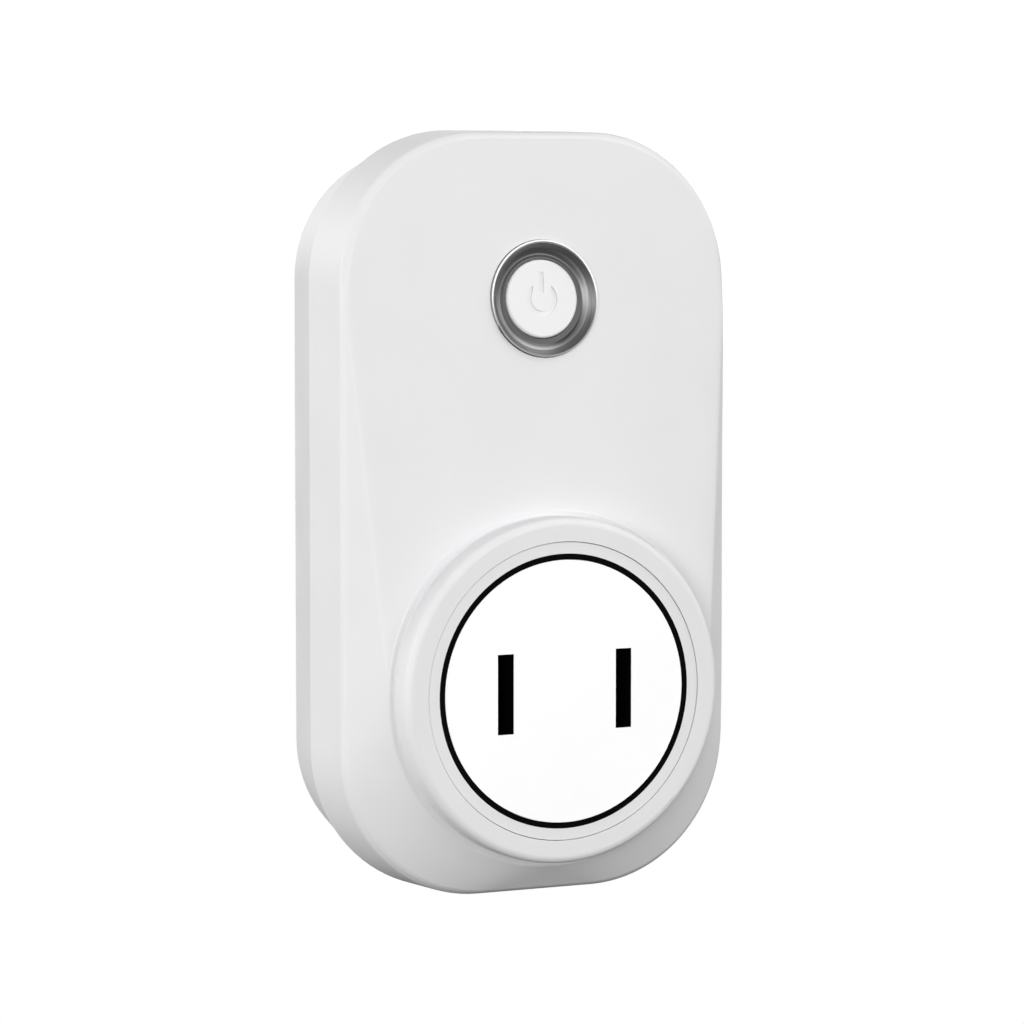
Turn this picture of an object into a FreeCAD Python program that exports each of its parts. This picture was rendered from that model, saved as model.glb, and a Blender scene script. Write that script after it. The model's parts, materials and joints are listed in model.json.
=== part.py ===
import FreeCAD, Part
import os
import re
import Sketcher

# Tall rounded smart plug. It plugs into a wall outlet with two flat blades at the back, carries one
# outlet of the same kind in a round boss at the front, and has a push button in a bright ring above.
#
# Frame: +Z up, +X to the right seen from the front, -Y out of the wall towards the user.
# Origin: on the wall plane, half way between the two blades.
# "Depth" is the distance in front of the wall plane, so a point at depth d lies at Y = -d.
# "Rise" is the height above the blades, so a point at rise r lies at Z = r.

SIZES = [
    # housing, outline by outline from the wall to the face
    ("body_rise", 16.8, "middle of the body above the blades"),
    ("rear_width", 30.4, "flat back against the wall"),
    ("rear_height", 66.0, ""),
    ("rear_corner", 8.8, ""),
    ("shoulder_width", 38.2, "where the back starts to taper in"),
    ("shoulder_height", 70.9, ""),
    ("shoulder_corner", 12.7, ""),
    ("shoulder_depth", 8.5, ""),
    ("seam_width", 42.1, "where the two covers meet"),
    ("seam_height", 74.7, ""),
    ("seam_corner", 14.7, ""),
    ("seam_depth", 16.8, ""),
    ("seam_step", 0.15, "the back cover sits this much inside the front cover"),
    ("face_width", 41.4, "rim of the front face"),
    ("face_height", 74.2, ""),
    ("face_corner", 14.5, ""),
    ("face_depth", 24.0, ""),
    ("face_bevel", 0.5, "rim of the face, bevelled twice"),
    ("face_soften", 0.18, ""),
    ("rear_round", 0.8, "rounding round the back"),
    ("wall_thick", 1.8, ""),
    ("cover_gap", 0.1, "gap between the covers at the seam"),
    # round boss round the outlet
    ("crest_depth", 27.2, "the face slants up from its rim to a crest round the boss"),
    ("crest_width", 34.9, ""),
    ("crest_corner", 16.95, ""),
    ("crest_bevel", 0.2, "the crest is bevelled to a flat ledge"),
    ("ledge_depth", 27.3, ""),
    ("foot_round", 0.2, "hollow rounding where the boss stands on the ledge"),
    ("boss_depth", 30.2, "front of the boss"),
    ("boss_radius", 16.8, "side of the boss"),
    ("skirt_depth", 18.0, "inner end of the boss wall"),
    ("boss_bore", 14.53, ""),
    ("boss_round", 0.75, ""),
    # outlet insert
    ("collar_radius", 14.46, ""),
    ("collar_depth", 30.1, ""),
    ("collar_flange", 15.6, "holds the insert behind the boss wall"),
    ("flange_thick", 0.8, ""),
    ("trim_outer", 13.35, "black ring round the outlet face"),
    ("trim_inner", 12.8, ""),
    ("trim_thick", 0.7, ""),
    ("disc_radius", 12.75, "outlet face"),
    ("disc_thick", 3.8, ""),
    ("collar_bore", 12.0, "behind the outlet face"),
    ("blade_pitch", 12.7, "two-blade plug, blade to blade"),
    ("slot_width", 1.7, ""),
    ("slot_height", 7.75, ""),
    ("insert_gap", 0.05, ""),
    # contacts and their carrier
    ("carrier_radius", 11.9, ""),
    ("carrier_depth", 14.0, "back of the contact carrier"),
    ("carrier_floor", 1.2, ""),
    ("well_width", 5.4, "well for one contact"),
    ("well_height", 9.0, ""),
    ("leaf_thick", 0.5, ""),
    ("leaf_height", 7.4, ""),
    ("leaf_spread", 1.35, "outside of a leaf at the base, from the blade's middle plane"),
    ("leaf_pinch", 1.15, "outside of a leaf where it grips"),
    ("leaf_mouth", 1.9, "outside of a leaf at its flared mouth"),
    ("pinch_depth", 22.8, ""),
    ("mouth_depth", 25.6, ""),
    ("tail_height", 4.0, "tail of a contact"),
    ("tail_thick", 0.6, ""),
    ("tail_depth", 11.4, "end of the tail"),
    # blades and their clamp block
    ("blade_thick", 1.5, ""),
    ("blade_height", 6.35, ""),
    ("blade_length", 17.0, "out of the back"),
    ("blade_chamfer", 0.9, ""),
    ("blade_hole", 3.0, ""),
    ("blade_hole_reach", 11.7, ""),
    ("blade_tail", 9.7, "inner end of a blade"),
    ("shoulder_high", 8.6, "cross piece that stops the blade on its block"),
    ("clamp_depth", 7.3, ""),
    ("clamp_width", 18.8, ""),
    ("clamp_height", 13.0, ""),
    ("blade_slack", 0.05, ""),
    ("rib_inner", 10.2, "ribs that hold the contact carrier up"),
    ("rib_outer", 11.6, ""),
    ("rib_height", 10.0, ""),
    # straps between blades, contacts and the power board
    ("strap_thick", 0.7, ""),
    ("strap_foot", 17.3, "rise where a strap turns to the board"),
    ("strap_top", 18.6, ""),
    ("strap_low", 2.4, ""),
    ("strap_near", 8.6, "strap from a blade"),
    ("strap_far", 10.4, ""),
    ("strap_out_near", 11.5, "strap from the switched contact"),
    ("strap_out_far", 13.6, ""),
    # button and its ring, square to the slanting face: heights are above the face, minus is behind it
    ("button_rise", 37.8, ""),
    ("ring_hole", 5.75, ""),
    ("ring_radius", 5.69, ""),
    ("ring_lip", 0.3, "outer lip of the ring"),
    ("ring_lip_width", 0.16, ""),
    ("ring_slope", -0.25, "half way down the dish"),
    ("ring_slope_radius", 5.0, ""),
    ("ring_dish", -0.55, "bottom of the dish"),
    ("ring_dish_radius", 4.4, ""),
    ("ring_inner_lip", -0.6, "inner edge of the dish"),
    ("ring_inner_radius", 4.1, ""),
    ("ring_bore", 3.9, ""),
    ("ring_flange", 6.8, ""),
    ("ring_seat", -2.05, "front of the flange behind the face"),
    ("ring_back", -2.85, ""),
    ("ring_pocket", 5.1, "pocket for the flange of the button"),
    ("ring_pocket_end", -1.6, ""),
    ("cap_radius", 3.82, ""),
    ("cap_front", -0.3, ""),
    ("cap_round", 0.25, ""),
    ("cap_flange", 4.9, ""),
    ("cap_flange_front", -1.65, ""),
    ("cap_flange_back", -2.25, ""),
    ("stem_radius", 1.5, ""),
    ("stem_back", -3.9, ""),
    ("symbol_radius", 1.4, "power sign sunk in the button"),
    ("symbol_line", 0.4, ""),
    ("symbol_bar", 0.4, "bar of the power sign"),
    ("symbol_sink", 0.15, ""),
    ("symbol_gap", 2.0, "opening at the top of the ring of the sign"),
    ("symbol_bar_low", 0.6, ""),
    ("symbol_bar_high", 2.6, ""),
    # control board behind the button
    ("control_back", 16.5, ""),
    ("control_front", 17.5, ""),
    ("control_width", 35.0, ""),
    ("control_low", 29.3, ""),
    ("control_high", 42.5, ""),
    ("control_corner", 3.0, ""),
    ("switch_half", 3.0, "half the width of the push switch"),
    ("switch_depth", 20.3, ""),
    ("switch_lid", 0.3, "metal lid of the push switch"),
    ("plunger_radius", 1.7, ""),
    ("plunger_hole", 1.76, ""),
    ("plunger_front", 21.4, ""),
    ("plunger_back", 19.6, ""),
    ("switch_floor", 18.6, ""),
    ("led_left", 4.4, ""),
    ("led_right", 6.0, ""),
    ("led_half", 0.8, ""),
    ("led_high", 0.8, ""),
    ("radio_left", -13.2, "wireless module"),
    ("radio_right", -3.8, ""),
    ("radio_low", 30.4, ""),
    ("radio_high", 42.0, ""),
    ("radio_thick", 0.8, ""),
    ("shield_margin", 0.7, ""),
    ("shield_top", 38.6, ""),
    ("shield_high", 2.2, ""),
    # power board behind the relay
    ("power_back", 3.4, ""),
    ("power_front", 5.0, ""),
    ("power_half", 14.2, ""),
    ("power_low", 17.2, ""),
    ("power_high", 42.3, ""),
    ("power_corner", 2.0, ""),
    ("relay_half", 9.2, ""),
    ("relay_low", 18.8, ""),
    ("relay_high", 28.4, ""),
    ("relay_tall", 15.2, ""),
    ("film_left", 10.2, "film capacitor"),
    ("film_right", 15.0, ""),
    ("film_low", 17.4, ""),
    ("film_high", 29.2, ""),
    ("film_tall", 9.5, ""),
    ("varistor_left", -14.4, ""),
    ("varistor_right", -10.6, ""),
    ("varistor_rise", 21.8, ""),
    ("varistor_radius", 4.4, ""),
    ("varistor_lift", 0.6, ""),
    ("core_half", 6.6, "transformer"),
    ("core_low", 28.9, ""),
    ("core_high", 38.7, ""),
    ("core_tall", 9.6, ""),
    ("core_leg", 2.0, "side legs and ends of the core"),
    ("core_middle", 1.6, "half the middle leg"),
    ("bobbin_wall", 0.8, ""),
    ("bobbin_gap", 0.1, ""),
    ("winding_sink", 0.6, ""),
    ("rectifier_left", -13.9, ""),
    ("rectifier_right", -9.5, ""),
    ("rectifier_low", 26.7, ""),
    ("rectifier_high", 30.5, ""),
    ("rectifier_tall", 2.4, ""),
    ("input_cap_x", 11.2, "larger capacitor"),
    ("input_cap_rise", 33.9, ""),
    ("input_cap_radius", 4.0, ""),
    ("input_cap_tall", 10.0, ""),
    ("output_cap_x", -11.4, "smaller capacitor"),
    ("output_cap_rise", 34.2, ""),
    ("output_cap_radius", 3.15, ""),
    ("output_cap_tall", 9.0, ""),
    ("can_groove", 0.3, "crimp round a capacitor"),
    ("can_groove_at", 1.5, ""),
    ("fuse_left", -10.4, ""),
    ("fuse_right", -1.4, ""),
    ("fuse_rise", 40.7, ""),
    ("fuse_radius", 1.4, ""),
    ("fuse_cap", 1.8, "end cap of the fuse"),
    ("fuse_neck", 1.25, "tube between the caps"),
    ("fuse_lift", 0.3, ""),
    ("header_left", 0.6, "pins between the boards"),
    ("header_pitch", 2.54, ""),
    ("header_high", 2.3, ""),
    ("header_rise", 40.7, ""),
    ("pin_size", 0.6, ""),
    # screws and posts
    ("screw_low_x", 12.0, "lower housing screws"),
    ("screw_low_rise", 14.2, ""),
    ("screw_high_x", 9.5, "upper housing screws"),
    ("screw_high_rise", 45.5, ""),
    ("post_radius", 2.7, ""),
    ("seat_depth", 12.4, "where a screw head bears"),
    ("head_radius", 2.1, ""),
    ("head_high", 1.6, ""),
    ("head_crown", 0.8, "top of a screw head against its rim"),
    ("head_room", 2.25, ""),
    ("shank_radius", 1.25, ""),
    ("shank_room", 1.35, ""),
    ("pilot_radius", 1.3, ""),
    ("shank_length", 8.0, ""),
    ("pilot_end", 20.8, ""),
    ("drive_width", 0.6, "cross slot of a screw head"),
    ("drive_span", 2.2, ""),
    ("drive_sink", 0.5, "depth of the cross slot against the head"),
    ("peg_x", 15.4, "posts for the control board"),
    ("peg_rise", 31.8, ""),
    ("peg_radius", 1.9, ""),
    ("stand_x", 12.7, "posts for the power board"),
    ("stand_high", 40.2, ""),
    ("stand_low", 18.4, ""),
    ("board_head_radius", 1.7, ""),
    ("board_head_high", 1.1, ""),
    ("board_shank_radius", 0.9, ""),
    ("board_shank_length", 4.0, ""),
    ("board_pilot_radius", 0.95, ""),
    ("pilot_spare", 0.2, "room beyond the tip of a board screw"),
    ("board_hole_radius", 1.05, ""),
]

doc = FreeCAD.newDocument("smart_plug")
sheet = doc.addObject("Spreadsheet::Sheet", "Sizes")
sub_parts = []


def fill_sheet():
    """Write every driving dimension into the sheet, one row each."""
    for row, (alias, number, note) in enumerate(SIZES, start=1):
        sheet.set("A%d" % row, note or alias.replace("_", " "))
        sheet.set("B%d" % row, str(number))
        sheet.setAlias("B%d" % row, alias)
    doc.recompute()


def full(expression):
    """Point the alias words of an expression at the sheet."""
    return re.sub(r"[a-z]+(?:_[a-z]+)+", lambda found: "Sizes." + found.group(0), expression)


def value(expression):
    """The number that an expression gives now."""
    return float(sheet.evalExpression(full(expression)))


def bind(thing, name, expression):
    thing.setExpression(name, full(expression))


def keep(label, thing):
    """Give a finished sub-part its name."""
    thing.Label = label
    sub_parts.append(thing)
    return thing


# ---------------------------------------------------------------- sketches

def new_body(label):
    return doc.addObject("PartDesign::Body", label)


def sketch_in(body, role, lift="0", rise="0"):
    """A sketch on one of the body's own origin planes, lifted off it and shifted up it."""
    plane = [item for item in body.Origin.OriginFeatures if item.Role == role][0]
    sketch = body.newObject("Sketcher::SketchObject", body.Name + "_sketch")
    sketch.AttachmentSupport = [(plane, "")]
    sketch.MapMode = "FlatFace"
    bind(sketch, "AttachmentOffset.Base.z", lift)
    bind(sketch, "AttachmentOffset.Base.y", rise)
    return sketch


def fix(sketch, kind, *where):
    """Add a dimension whose last argument is an expression."""
    expression = where[-1]
    index = sketch.addConstraint(Sketcher.Constraint(kind, *where[:-1], value(expression)))
    bind(sketch, "Constraints[%d]" % index, expression)


def outline(sketch, points):
    """A closed outline of straight lines through points given as pairs of expressions."""
    first = sketch.GeometryCount
    corners = [FreeCAD.Vector(value(x), value(y), 0) for x, y in points]
    count = len(corners)
    for index in range(count):
        sketch.addGeometry(Part.LineSegment(corners[index], corners[(index + 1) % count]), False)
    for index in range(count):
        following = first + (index + 1) % count
        sketch.addConstraint(Sketcher.Constraint("Coincident", first + index, 2, following, 1))
    for index, (x, y) in enumerate(points):
        fix(sketch, "DistanceX", -1, 1, first + index, 1, x)
        fix(sketch, "DistanceY", -1, 1, first + index, 1, y)


def circle(sketch, radius, x="0", y="0"):
    middle = FreeCAD.Vector(value(x), value(y), 0)
    index = sketch.addGeometry(Part.Circle(middle, FreeCAD.Vector(0, 0, 1), value(radius)), False)
    fix(sketch, "DistanceX", -1, 1, index, 3, x)
    fix(sketch, "DistanceY", -1, 1, index, 3, y)
    fix(sketch, "Radius", index, radius)


def rounded_rectangle(sketch, width, height, corner, rise):
    """A rectangle with round corners, centred on the vertical axis at the given rise."""
    half_width, half_height = value(width) / 2, value(height) / 2
    radius, middle = value(corner), value(rise)
    right, top = half_width - radius, half_height - radius
    starts = [(right, -half_height), (half_width, top), (-right, half_height), (-half_width, -top)]
    sides = [(-right, -half_height), (half_width, -top), (right, half_height), (-half_width, top)]
    hubs = [(right, -top), (right, top), (-right, top), (-right, -top)]
    turn = 1.5707963267948966
    for index in range(4):
        begin = FreeCAD.Vector(sides[index][0], sides[index][1] + middle, 0)
        finish = FreeCAD.Vector(starts[index][0], starts[index][1] + middle, 0)
        sketch.addGeometry(Part.LineSegment(begin, finish), False)
    for index in range(4):
        hub = FreeCAD.Vector(hubs[index][0], hubs[index][1] + middle, 0)
        whole = Part.Circle(hub, FreeCAD.Vector(0, 0, 1), radius)
        sketch.addGeometry(Part.ArcOfCircle(whole, (index - 1) * turn, index * turn), False)
    for index in range(4):
        sketch.addConstraint(Sketcher.Constraint("Tangent", index, 2, 4 + index, 1))
        sketch.addConstraint(Sketcher.Constraint("Tangent", 4 + index, 2, (index + 1) % 4, 1))
    sketch.addConstraint(Sketcher.Constraint("Horizontal", 0))
    sketch.addConstraint(Sketcher.Constraint("Vertical", 1))
    for index in (5, 6, 7):
        sketch.addConstraint(Sketcher.Constraint("Equal", 4, index))
    fix(sketch, "Radius", 4, corner)
    fix(sketch, "DistanceX", -1, 1, 1, 1, "(%s) / 2" % width)
    fix(sketch, "DistanceX", -1, 1, 3, 1, "-(%s) / 2" % width)
    fix(sketch, "DistanceY", -1, 1, 0, 1, "(%s) - (%s) / 2" % (rise, height))
    fix(sketch, "DistanceY", -1, 1, 2, 1, "(%s) + (%s) / 2" % (rise, height))


# ---------------------------------------------------------------- features

def extrude(kind, body, sketch, length, both=False, back=False):
    """A pad or a pocket of the sketch: along its normal, or half each way."""
    feature = body.newObject("PartDesign::" + kind, body.Name + "_" + kind.lower())
    feature.Profile = sketch
    bind(feature, "Length", length)
    if both:
        feature.SideType = "Symmetric"
    feature.Reversed = back
    doc.recompute()
    return feature


def pad(body, sketch, length, both=False, back=False):
    return extrude("Pad", body, sketch, length, both, back)


def pocket(body, sketch, length, both=False, back=False):
    """Cut, and make sure that something was cut."""
    before = body.Shape.Volume
    feature = extrude("Pocket", body, sketch, length, both, back)
    if body.Shape.Volume >= before - 1e-6:
        raise RuntimeError("pocket cut nothing in " + body.Label)
    return feature


def loft(body, sketches):
    feature = body.newObject("PartDesign::AdditiveLoft", body.Name + "_loft")
    feature.Profile = sketches[0]
    feature.Sections = sketches[1:]
    feature.Ruled = True
    doc.recompute()
    return feature


def revolve(body, sketch):
    """Turn the sketch once round its own horizontal axis."""
    feature = body.newObject("PartDesign::Revolution", body.Name + "_revolution")
    feature.Profile = sketch
    feature.ReferenceAxis = (sketch, ["H_Axis"])
    feature.Angle = 360
    doc.recompute()
    return feature


SHORT_JOINT = 0.9  # shorter edges only cross a bevel from one side to the other


def edges_where(shape, test):
    """The names of the edges, short joints left out, whose points all pass the test."""
    found = []
    for index, edge in enumerate(shape.Edges, start=1):
        samples = edge.discretize(7)
        if edge.Length > SHORT_JOINT and all(test(point) for point in samples):
            found.append("Edge%d" % index)
    return found


def dress(kind, body, test, size):
    """Fillet or chamfer the edges that pass the test."""
    base = body.Tip
    names = edges_where(base.Shape, test)
    feature = body.newObject("PartDesign::" + kind, body.Name + "_" + kind.lower())
    feature.Base = (base, names)
    bind(feature, "Radius" if kind == "Fillet" else "Size", size)
    doc.recompute()
    return feature


def ring_edge(depth, radius, rise="0"):
    """A test for the edge that runs round the Y direction at this depth and radius."""
    y, size, z = -value(depth), value(radius), value(rise)

    def test(point):
        reach = (point.x ** 2 + (point.z - z) ** 2) ** 0.5
        return abs(point.y - y) < 1e-3 and abs(reach - size) < 1e-3
    return test


def turned(label, points, x="0", rise="0"):
    """A body turned round the Y direction; points are pairs of depth and radius."""
    body = new_body(label)
    sketch = sketch_in(body, "YZ_Plane", x, rise)
    outline(sketch, [("-(%s)" % depth, radius) for depth, radius in points])
    revolve(body, sketch)
    return body


# ---------------------------------------------------------------- simple solids

def box(label, x_from, x_to, depth_from, depth_to, rise_from, rise_to):
    """A block between two planes each way."""
    block = doc.addObject("Part::Box", label)
    bind(block, "Length", "(%s) - (%s)" % (x_to, x_from))
    bind(block, "Width", "(%s) - (%s)" % (depth_to, depth_from))
    bind(block, "Height", "(%s) - (%s)" % (rise_to, rise_from))
    bind(block, "Placement.Base.x", x_from)
    bind(block, "Placement.Base.y", "-(%s)" % depth_to)
    bind(block, "Placement.Base.z", rise_from)
    return block


def rod(label, radius, x, rise, depth_from, depth_to):
    """A cylinder that points out of the wall."""
    cylinder = doc.addObject("Part::Cylinder", label)
    cylinder.Placement = FreeCAD.Placement(FreeCAD.Vector(), FreeCAD.Rotation(FreeCAD.Vector(1, 0, 0), 90))
    bind(cylinder, "Radius", radius)
    bind(cylinder, "Height", "(%s) - (%s)" % (depth_to, depth_from))
    bind(cylinder, "Placement.Base.x", x)
    bind(cylinder, "Placement.Base.y", "-(%s)" % depth_from)
    bind(cylinder, "Placement.Base.z", rise)
    return cylinder


def fuse(label, shapes):
    whole = doc.addObject("Part::MultiFuse", label)
    whole.Shapes = shapes
    return whole


def cut(label, base, tools):
    tool = tools[0] if len(tools) == 1 else fuse(label + "_tools", tools)
    result = doc.addObject("Part::Cut", label)
    result.Base = base
    result.Tool = tool
    return result


SCREW_SPOTS = [
    ("screw_low_x", "screw_low_rise"), ("-screw_low_x", "screw_low_rise"),
    ("screw_high_x", "screw_high_rise"), ("-screw_high_x", "screw_high_rise"),
]
PIN_COUNT = 4
PEG_SPOTS = [("peg_x", "peg_rise"), ("-peg_x", "peg_rise")]
STAND_SPOTS = [("stand_x", "stand_high"), ("-stand_x", "stand_high")]
REST_SPOTS = [("stand_x", "stand_low"), ("-stand_x", "stand_low")]


def rods_at(label, spots, radius, depth_from, depth_to):
    return [rod(label, radius, x, rise, depth_from, depth_to) for x, rise in spots]


# ---------------------------------------------------------------- front cover

def front_form(label, inset, back):
    """The front cover as a full form: drafted sides, and a face that slants up to the crest."""
    body = new_body(label)
    sketches = []
    stages = [("seam", "seam_depth"), ("face", "face_depth - (%s)" % back)]
    for stage, depth in stages:
        sketch = sketch_in(body, "XZ_Plane", depth)
        rounded_rectangle(sketch, "%s_width - 2 * (%s)" % (stage, inset),
                          "%s_height - 2 * (%s)" % (stage, inset),
                          "%s_corner - (%s)" % (stage, inset), "body_rise")
        sketches.append(sketch)
    for depth, margin in (("crest_depth", inset), ("ledge_depth", inset + " + crest_bevel")):
        sketch = sketch_in(body, "XZ_Plane", "%s - (%s)" % (depth, back))
        size = "crest_width - 2 * (%s)" % margin
        rounded_rectangle(sketch, size, size, "crest_corner - (%s)" % margin, "0")
        sketches.append(sketch)
    loft(body, sketches)
    return body


def near(depth, reach):
    """A test for edges that stay within this reach of a depth."""
    y = -value(depth)
    return lambda point: abs(point.y - y) < reach + 1e-3


# the face slants in a straight line from the top of its rim to the top of the crest
FACE_TOP = "(body_rise + face_height / 2)"
FACE_RISE = "(crest_depth - face_depth)"
FACE_RUN = "(%s - crest_width / 2)" % FACE_TOP
FACE_SLANT = "atan(%s / %s)" % (FACE_RISE, FACE_RUN)
BUTTON_DEPTH = "(face_depth + %s * (%s - button_rise) / %s)" % (FACE_RISE, FACE_TOP, FACE_RUN)


def lean(body):
    """Set a body that was turned round the Y direction square into the slanting face, at the button."""
    body.Placement = FreeCAD.Placement(FreeCAD.Vector(), FreeCAD.Rotation(FreeCAD.Vector(-1, 0, 0), 1))
    bind(body, "Placement.Base.y", "-" + BUTTON_DEPTH)
    bind(body, "Placement.Base.z", "button_rise")
    bind(body, "Placement.Rotation.Angle", FACE_SLANT)
    return body


def front_cover():
    """Slanting face, side walls, boss round the outlet, and posts inside."""
    body = front_form("cover_form", "0", "0")
    dress("Chamfer", body, near("face_depth", 0), "face_bevel")
    dress("Chamfer", body, near("face_depth", 1.2 * value("face_bevel")), "face_soften")
    boss = sketch_in(body, "YZ_Plane")
    outline(boss, [
        ("-skirt_depth", "boss_bore"),
        ("-skirt_depth", "boss_radius"),
        ("-boss_depth", "boss_radius"),
        ("-boss_depth", "boss_bore"),
    ])
    revolve(body, boss)
    bore = sketch_in(body, "XZ_Plane", "skirt_depth")
    circle(bore, "boss_bore")
    pocket(body, bore, "boss_depth", back=True)
    dress("Fillet", body, ring_edge("ledge_depth", "boss_radius"), "foot_round")
    dress("Fillet", body, ring_edge("boss_depth", "boss_radius"), "boss_round")

    hollow = front_form("cover_hollow", "wall_thick", "wall_thick")
    inside = [rod("boss_wall", "boss_radius", "0", "0", "skirt_depth", "boss_depth")]
    inside += rods_at("screw_post", SCREW_SPOTS, "post_radius", "seam_depth", "boss_depth")
    inside += rods_at("control_post", PEG_SPOTS, "peg_radius", "control_front", "boss_depth")
    room = cut("cover_room", hollow, inside)
    opening = [("ring_back", "0"), ("ring_lip + 1", "0"),
               ("ring_lip + 1", "ring_hole"), ("ring_back", "ring_hole")]
    tools = [room, lean(turned("ring_opening", opening))]
    tools += rods_at("screw_pilot", SCREW_SPOTS, "pilot_radius", "seam_depth", "pilot_end")
    tools += rods_at("control_pilot", PEG_SPOTS, "board_pilot_radius", "control_front",
                     "control_front + board_shank_length")
    return keep("front_cover", cut("front_cover", body, tools))


# ---------------------------------------------------------------- rear cover

def rear_form(label, inset, back, front):
    """The rear cover as a full form: narrow at the wall, wide at the seam."""
    body = new_body(label)
    stages = [("rear", back), ("shoulder", "shoulder_depth"), ("seam", front)]
    sketches = []
    for stage, depth in stages:
        step = "(%s) + seam_step" % inset if stage == "seam" else inset
        sketch = sketch_in(body, "XZ_Plane", depth)
        rounded_rectangle(sketch, "%s_width - 2 * (%s)" % (stage, step),
                          "%s_height - 2 * (%s)" % (stage, step),
                          "%s_corner - (%s)" % (stage, step), "body_rise")
        sketches.append(sketch)
    loft(body, sketches)
    return body


def rear_cover():
    """Back shell with screw tunnels, board posts, carrier ribs and the two blade slots."""
    form = rear_form("back_form", "0", "0", "seam_depth - cover_gap")
    dress("Fillet", form, lambda point: abs(point.y) < 1e-3, "rear_round")
    hollow = rear_form("back_hollow", "wall_thick", "wall_thick", "seam_depth")
    inside = rods_at("screw_tunnel", SCREW_SPOTS, "post_radius", "0", "seam_depth")
    inside += rods_at("power_post", STAND_SPOTS + REST_SPOTS, "peg_radius", "0", "power_back")
    ribs = (("right_rib", "rib_inner", "rib_outer"), ("left_rib", "-rib_outer", "-rib_inner"))
    for name, left, right in ribs:
        inside.append(box(name, left, right, "0", "carrier_depth", "-rib_height / 2", "rib_height / 2"))
    room = cut("back_room", hollow, inside)
    tools = [room]
    tools += rods_at("head_tunnel", SCREW_SPOTS, "head_room", "-1", "seat_depth")
    tools += rods_at("shank_hole", SCREW_SPOTS, "shank_room", "seat_depth", "seam_depth + 1")
    tools += rods_at("power_pilot", STAND_SPOTS, "board_pilot_radius",
                     "power_front - board_shank_length - pilot_spare", "power_back")
    for side in ("blade_pitch / 2", "-blade_pitch / 2"):
        tools.append(box("blade_slot", "%s - blade_thick / 2 - blade_slack" % side,
                         "%s + blade_thick / 2 + blade_slack" % side, "-1", "wall_thick + 1",
                         "-blade_height / 2 - blade_slack", "blade_height / 2 + blade_slack"))
    return keep("rear_cover", cut("rear_cover", form, tools))


# ---------------------------------------------------------------- outlet insert

def socket_collar():
    """Ring that fills the boss and holds the outlet face, with a flange behind the boss wall."""
    return keep("socket_collar", turned("socket_collar", [
        ("collar_depth", "trim_outer"),
        ("collar_depth", "collar_radius"),
        ("skirt_depth - insert_gap", "collar_radius"),
        ("skirt_depth - insert_gap", "collar_flange"),
        ("skirt_depth - insert_gap - flange_thick", "collar_flange"),
        ("skirt_depth - insert_gap - flange_thick", "collar_bore"),
        ("collar_depth - disc_thick", "collar_bore"),
        ("collar_depth - disc_thick", "trim_inner"),
        ("collar_depth - trim_thick", "trim_inner"),
        ("collar_depth - trim_thick", "trim_outer"),
    ]))


def socket_trim_ring():
    """Thin black ring let into the collar."""
    return keep("socket_trim_ring", turned("socket_trim_ring", [
        ("collar_depth - trim_thick", "trim_inner"),
        ("collar_depth - trim_thick", "trim_outer"),
        ("collar_depth", "trim_outer"),
        ("collar_depth", "trim_inner"),
    ]))


def socket_face():
    """Round outlet face with two upright slots."""
    body = new_body("socket_face")
    disc = sketch_in(body, "XZ_Plane", "collar_depth - disc_thick")
    circle(disc, "disc_radius")
    pad(body, disc, "disc_thick")
    slots = sketch_in(body, "XZ_Plane", "collar_depth - disc_thick")
    for side in ("blade_pitch / 2", "-blade_pitch / 2"):
        left, right = "%s - slot_width / 2" % side, "%s + slot_width / 2" % side
        outline(slots, [(left, "-slot_height / 2"), (right, "-slot_height / 2"),
                        (right, "slot_height / 2"), (left, "slot_height / 2")])
    pocket(body, slots, "disc_thick", back=True)
    return keep("socket_face", body)


def contact_carrier():
    """Round block behind the outlet face with a well for each contact."""
    body = new_body("contact_carrier")
    block = sketch_in(body, "XZ_Plane", "carrier_depth")
    circle(block, "carrier_radius")
    pad(body, block, "collar_depth - disc_thick - insert_gap - carrier_depth")
    wells = sketch_in(body, "XZ_Plane", "carrier_depth + carrier_floor")
    tails = sketch_in(body, "XZ_Plane", "carrier_depth")
    for side in ("blade_pitch / 2", "-blade_pitch / 2"):
        left, right = "%s - well_width / 2" % side, "%s + well_width / 2" % side
        outline(wells, [(left, "-well_height / 2"), (right, "-well_height / 2"),
                        (right, "well_height / 2"), (left, "well_height / 2")])
    for inner, outer in (("tail_inner", "tail_outer"), ("-tail_outer", "-tail_inner")):
        left = inner.replace("tail_inner", TAIL_INNER).replace("tail_outer", TAIL_OUTER)
        right = outer.replace("tail_inner", TAIL_INNER).replace("tail_outer", TAIL_OUTER)
        outline(tails, [(left + " - insert_gap", "-tail_height / 2 - insert_gap"),
                        (right + " + insert_gap", "-tail_height / 2 - insert_gap"),
                        (right + " + insert_gap", "tail_height / 2 + insert_gap"),
                        (left + " - insert_gap", "tail_height / 2 + insert_gap")])
    pocket(body, wells, "collar_depth", back=True)
    pocket(body, tails, "carrier_floor + 1", back=True)
    return keep("contact_carrier", body)


# the tail of a contact stands beside the blade's flat side, towards the middle of the plug
TAIL_OUTER = "(blade_pitch / 2 - blade_thick / 2 + tail_thick)"
TAIL_INNER = "(blade_pitch / 2 - blade_thick / 2)"


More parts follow.
